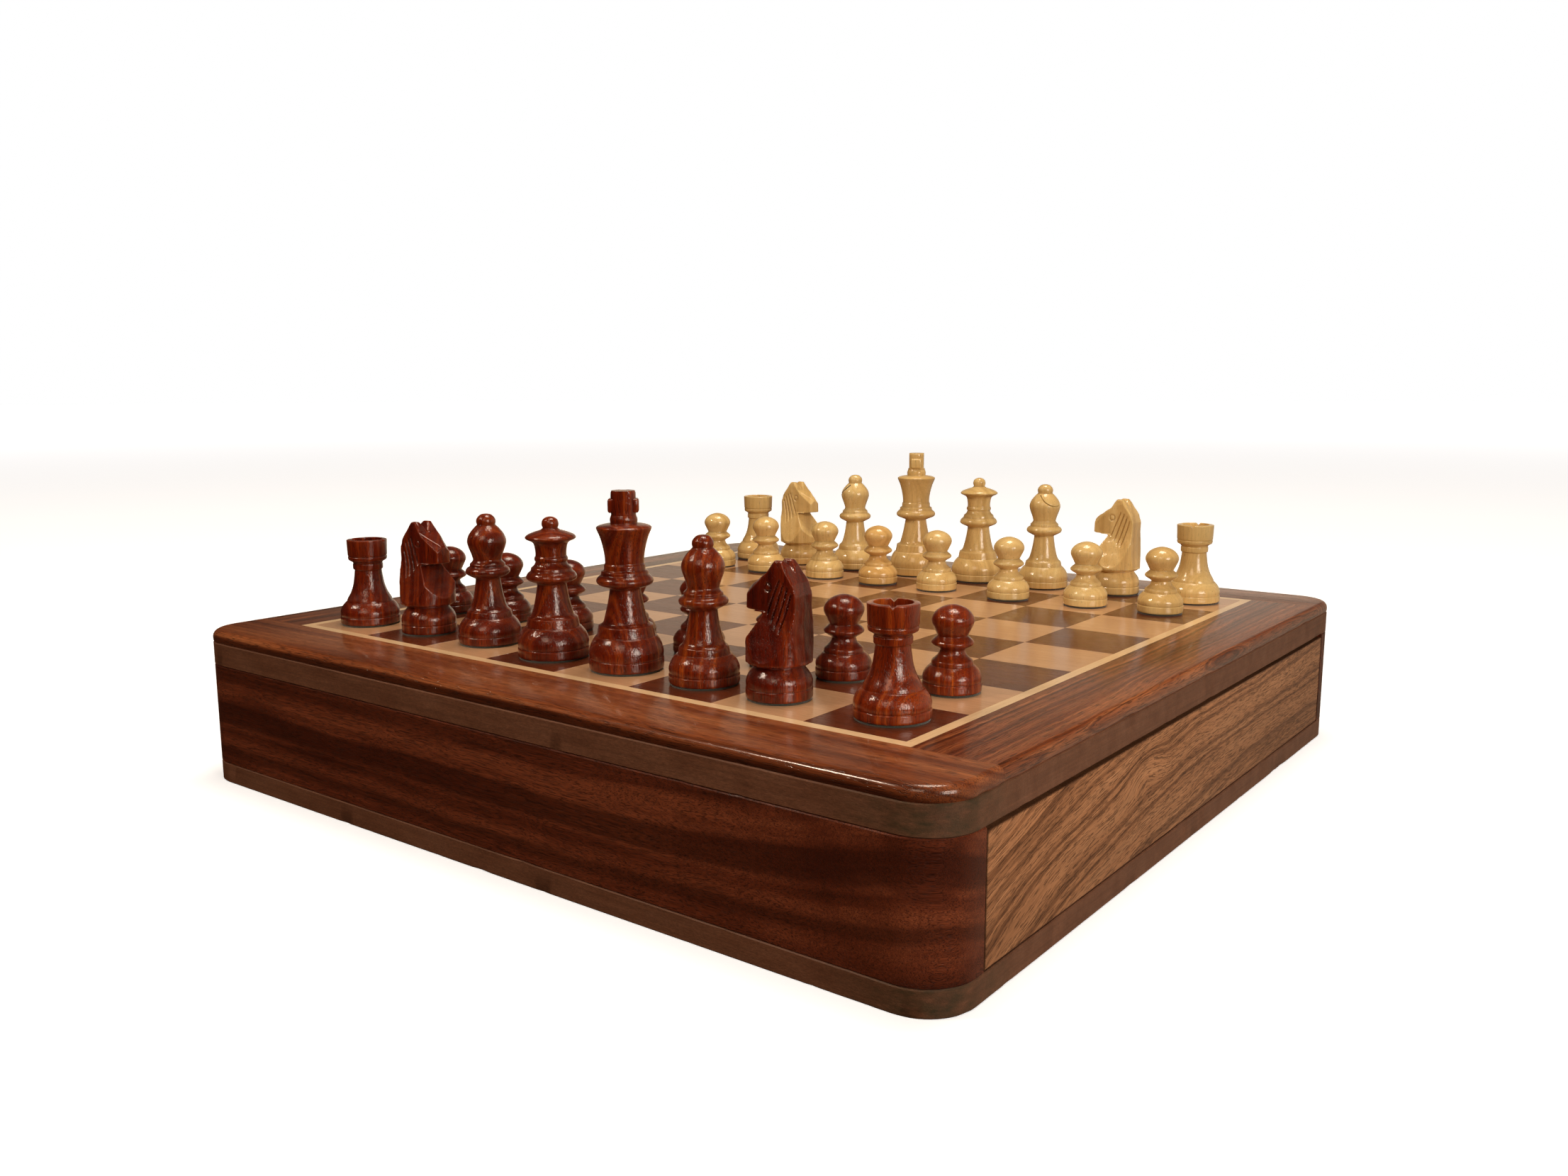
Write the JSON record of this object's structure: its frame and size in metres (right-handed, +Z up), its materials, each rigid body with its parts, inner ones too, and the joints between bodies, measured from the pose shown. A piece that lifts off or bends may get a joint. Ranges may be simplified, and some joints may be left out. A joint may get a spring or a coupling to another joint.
{
  "type": "chess set with board",
  "caption": "Wooden chess set set out for play on a square box board with a pull-out storage drawer; every man lifts off.",
  "frame": {"origin": "centre of the box's underside", "axes": "+X towards the drawer front, +Y from the dark army to the light army, +Z up"},
  "size_m": [0.305, 0.305, 0.1081],
  "materials": {
    "fibreboard": "matt stained edge",
    "border_rosewood": "gloss lacquer",
    "wall_rosewood": "satin lacquer",
    "inlay_maple": "gloss lacquer",
    "field_squares": "gloss lacquer, dark squares of walnut brown and pale squares of maple",
    "drawer_front_rosewood": "satin lacquer",
    "drawer_wood": "bare sanded wood",
    "drawer_felt": "short felt",
    "dark_men": "thick red-brown gloss lacquer",
    "light_men": "satin lacquer over pale boxwood"
  },
  "bodies": {
    "board": {"bottom_panel": "fibreboard", "front_wall": "wall_rosewood", "back_wall": "wall_rosewood", "left_wall": "wall_rosewood", "top_panel": "fibreboard", "border_front": "border_rosewood", "border_back": "border_rosewood", "border_left": "border_rosewood", "border_right": "border_rosewood", "inlay_front": "inlay_maple", "inlay_back": "inlay_maple", "inlay_left": "inlay_maple", "inlay_right": "inlay_maple", "rank_1": "field_squares", "rank_2": "field_squares", "rank_3": "field_squares", "rank_4": "field_squares", "rank_5": "field_squares", "rank_6": "field_squares", "rank_7": "field_squares", "rank_8": "field_squares"},
    "drawer": {"drawer_front": "drawer_front_rosewood", "drawer_side_front": "drawer_wood", "drawer_side_back": "drawer_wood", "drawer_back": "drawer_wood", "drawer_bottom": "drawer_wood", "drawer_lining": "drawer_felt"},
    "dark_king": {"dark_king": "dark_men"},
    "dark_queen": {"dark_queen": "dark_men"},
    "dark_bishop_left": {"dark_bishop_left": "dark_men"},
    "dark_bishop_right": {"dark_bishop_right": "dark_men"},
    "dark_knight_left": {"dark_knight_left": "dark_men"},
    "dark_knight_right": {"dark_knight_right": "dark_men"},
    "dark_rook_left": {"dark_rook_left": "dark_men"},
    "dark_rook_right": {"dark_rook_right": "dark_men"},
    "dark_pawn_1": {"dark_pawn_1": "dark_men"},
    "dark_pawn_2": {"dark_pawn_2": "dark_men"},
    "dark_pawn_3": {"dark_pawn_3": "dark_men"},
    "dark_pawn_4": {"dark_pawn_4": "dark_men"},
    "dark_pawn_5": {"dark_pawn_5": "dark_men"},
    "dark_pawn_6": {"dark_pawn_6": "dark_men"},
    "dark_pawn_7": {"dark_pawn_7": "dark_men"},
    "dark_pawn_8": {"dark_pawn_8": "dark_men"},
    "light_king": {"light_king": "light_men"},
    "light_queen": {"light_queen": "light_men"},
    "light_bishop_left": {"light_bishop_left": "light_men"},
    "light_bishop_right": {"light_bishop_right": "light_men"},
    "light_knight_left": {"light_knight_left": "light_men"},
    "light_knight_right": {"light_knight_right": "light_men"},
    "light_rook_left": {"light_rook_left": "light_men"},
    "light_rook_right": {"light_rook_right": "light_men"},
    "light_pawn_1": {"light_pawn_1": "light_men"},
    "light_pawn_2": {"light_pawn_2": "light_men"},
    "light_pawn_3": {"light_pawn_3": "light_men"},
    "light_pawn_4": {"light_pawn_4": "light_men"},
    "light_pawn_5": {"light_pawn_5": "light_men"},
    "light_pawn_6": {"light_pawn_6": "light_men"},
    "light_pawn_7": {"light_pawn_7": "light_men"},
    "light_pawn_8": {"light_pawn_8": "light_men"}
  },
  "joints": [
    {"name": "drawer_slide", "type": "slide", "parent": "board", "child": "drawer", "axis": [1, 0, 0], "range_m": [0, 0.22]},
    {"name": "dark_king_lift", "type": "slide", "parent": "board", "child": "dark_king", "axis": [0, 0, 1], "range_m": [0, 0.06]},
    {"name": "dark_queen_lift", "type": "slide", "parent": "board", "child": "dark_queen", "axis": [0, 0, 1], "range_m": [0, 0.06]},
    {"name": "dark_bishop_left_lift", "type": "slide", "parent": "board", "child": "dark_bishop_left", "axis": [0, 0, 1], "range_m": [0, 0.06]},
    {"name": "dark_bishop_right_lift", "type": "slide", "parent": "board", "child": "dark_bishop_right", "axis": [0, 0, 1], "range_m": [0, 0.06]},
    {"name": "dark_knight_left_lift", "type": "slide", "parent": "board", "child": "dark_knight_left", "axis": [0, 0, 1], "range_m": [0, 0.06]},
    {"name": "dark_knight_right_lift", "type": "slide", "parent": "board", "child": "dark_knight_right", "axis": [0, 0, 1], "range_m": [0, 0.06]},
    {"name": "dark_rook_left_lift", "type": "slide", "parent": "board", "child": "dark_rook_left", "axis": [0, 0, 1], "range_m": [0, 0.06]},
    {"name": "dark_rook_right_lift", "type": "slide", "parent": "board", "child": "dark_rook_right", "axis": [0, 0, 1], "range_m": [0, 0.06]},
    {"name": "dark_pawn_1_lift", "type": "slide", "parent": "board", "child": "dark_pawn_1", "axis": [0, 0, 1], "range_m": [0, 0.06]},
    {"name": "dark_pawn_2_lift", "type": "slide", "parent": "board", "child": "dark_pawn_2", "axis": [0, 0, 1], "range_m": [0, 0.06]},
    {"name": "dark_pawn_3_lift", "type": "slide", "parent": "board", "child": "dark_pawn_3", "axis": [0, 0, 1], "range_m": [0, 0.06]},
    {"name": "dark_pawn_4_lift", "type": "slide", "parent": "board", "child": "dark_pawn_4", "axis": [0, 0, 1], "range_m": [0, 0.06]},
    {"name": "dark_pawn_5_lift", "type": "slide", "parent": "board", "child": "dark_pawn_5", "axis": [0, 0, 1], "range_m": [0, 0.06]},
    {"name": "dark_pawn_6_lift", "type": "slide", "parent": "board", "child": "dark_pawn_6", "axis": [0, 0, 1], "range_m": [0, 0.06]},
    {"name": "dark_pawn_7_lift", "type": "slide", "parent": "board", "child": "dark_pawn_7", "axis": [0, 0, 1], "range_m": [0, 0.06]},
    {"name": "dark_pawn_8_lift", "type": "slide", "parent": "board", "child": "dark_pawn_8", "axis": [0, 0, 1], "range_m": [0, 0.06]},
    {"name": "light_king_lift", "type": "slide", "parent": "board", "child": "light_king", "axis": [0, 0, 1], "range_m": [0, 0.06]},
    {"name": "light_queen_lift", "type": "slide", "parent": "board", "child": "light_queen", "axis": [0, 0, 1], "range_m": [0, 0.06]},
    {"name": "light_bishop_left_lift", "type": "slide", "parent": "board", "child": "light_bishop_left", "axis": [0, 0, 1], "range_m": [0, 0.06]},
    {"name": "light_bishop_right_lift", "type": "slide", "parent": "board", "child": "light_bishop_right", "axis": [0, 0, 1], "range_m": [0, 0.06]},
    {"name": "light_knight_left_lift", "type": "slide", "parent": "board", "child": "light_knight_left", "axis": [0, 0, 1], "range_m": [0, 0.06]},
    {"name": "light_knight_right_lift", "type": "slide", "parent": "board", "child": "light_knight_right", "axis": [0, 0, 1], "range_m": [0, 0.06]},
    {"name": "light_rook_left_lift", "type": "slide", "parent": "board", "child": "light_rook_left", "axis": [0, 0, 1], "range_m": [0, 0.06]},
    {"name": "light_rook_right_lift", "type": "slide", "parent": "board", "child": "light_rook_right", "axis": [0, 0, 1], "range_m": [0, 0.06]},
    {"name": "light_pawn_1_lift", "type": "slide", "parent": "board", "child": "light_pawn_1", "axis": [0, 0, 1], "range_m": [0, 0.06]},
    {"name": "light_pawn_2_lift", "type": "slide", "parent": "board", "child": "light_pawn_2", "axis": [0, 0, 1], "range_m": [0, 0.06]},
    {"name": "light_pawn_3_lift", "type": "slide", "parent": "board", "child": "light_pawn_3", "axis": [0, 0, 1], "range_m": [0, 0.06]},
    {"name": "light_pawn_4_lift", "type": "slide", "parent": "board", "child": "light_pawn_4", "axis": [0, 0, 1], "range_m": [0, 0.06]},
    {"name": "light_pawn_5_lift", "type": "slide", "parent": "board", "child": "light_pawn_5", "axis": [0, 0, 1], "range_m": [0, 0.06]},
    {"name": "light_pawn_6_lift", "type": "slide", "parent": "board", "child": "light_pawn_6", "axis": [0, 0, 1], "range_m": [0, 0.06]},
    {"name": "light_pawn_7_lift", "type": "slide", "parent": "board", "child": "light_pawn_7", "axis": [0, 0, 1], "range_m": [0, 0.06]},
    {"name": "light_pawn_8_lift", "type": "slide", "parent": "board", "child": "light_pawn_8", "axis": [0, 0, 1], "range_m": [0, 0.06]}
  ]
}
